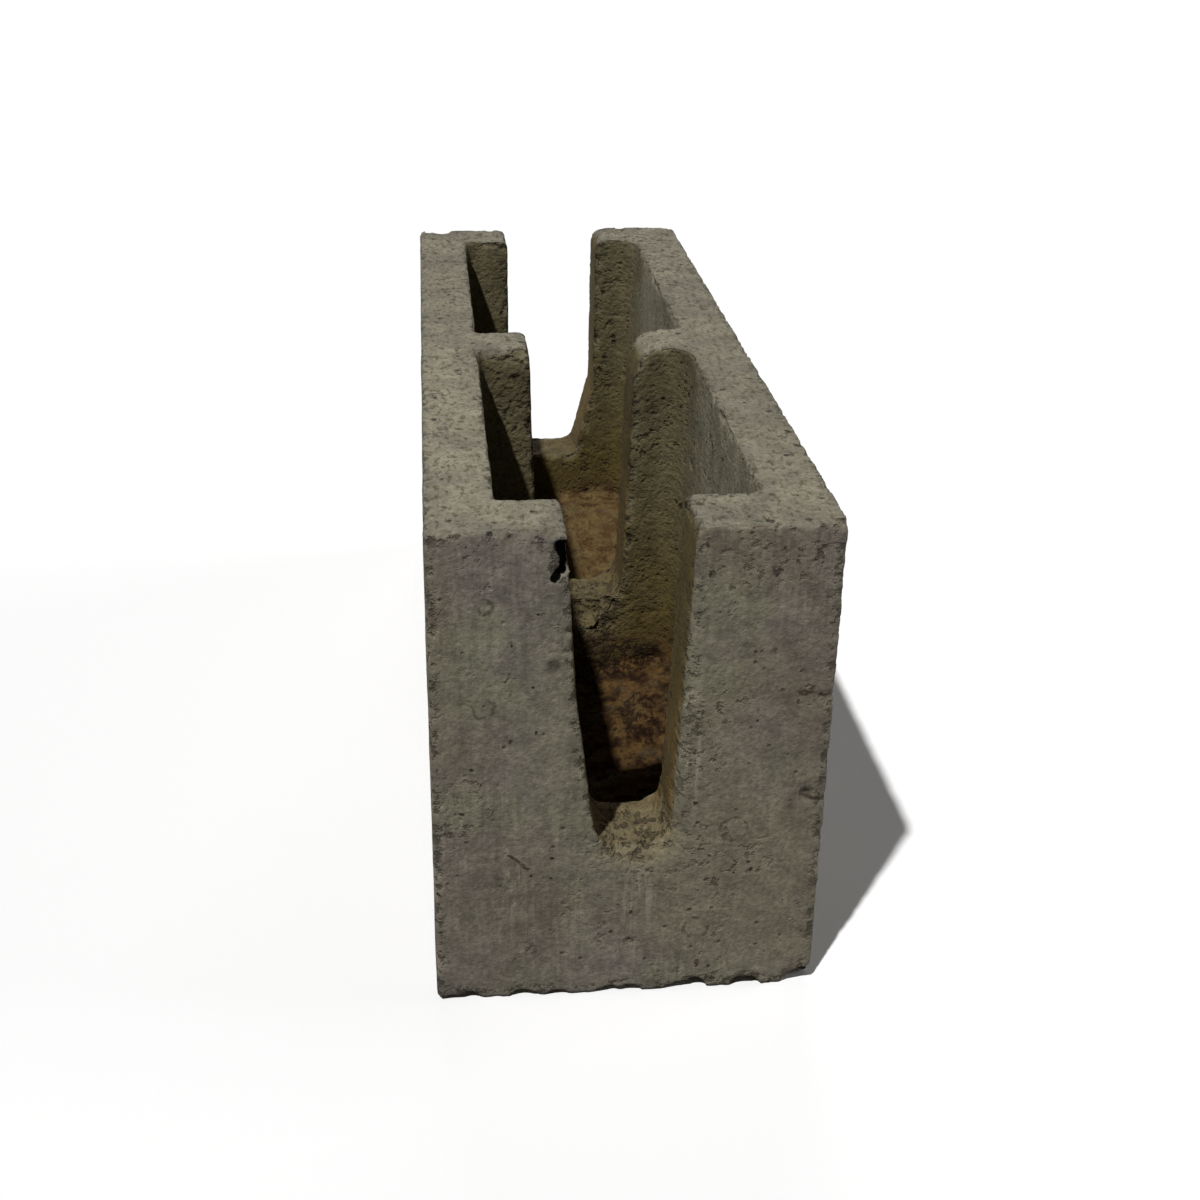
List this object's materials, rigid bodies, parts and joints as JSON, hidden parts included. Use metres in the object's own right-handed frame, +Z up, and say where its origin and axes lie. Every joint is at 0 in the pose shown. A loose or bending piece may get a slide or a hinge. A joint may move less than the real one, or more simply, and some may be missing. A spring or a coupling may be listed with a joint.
{
  "type": "hollow concrete block",
  "caption": "Hollow concrete bond-beam block with two open cells and deep round-floored notches in its cross webs that form a channel for a reinforcing bar and grout.",
  "frame": {"origin": "middle of the bed face, which is the middle of the bottom of the bounding box", "axes": "X runs across the block's width, Y along its length from the front end web to the back one, Z up out of the notched top"},
  "size_m": [0.14, 0.39, 0.19],
  "materials": {
    "concrete": "bare vibro-pressed concrete, weathered and stained"
  },
  "bodies": {
    "root": {"block": "concrete"}
  },
  "joints": []
}
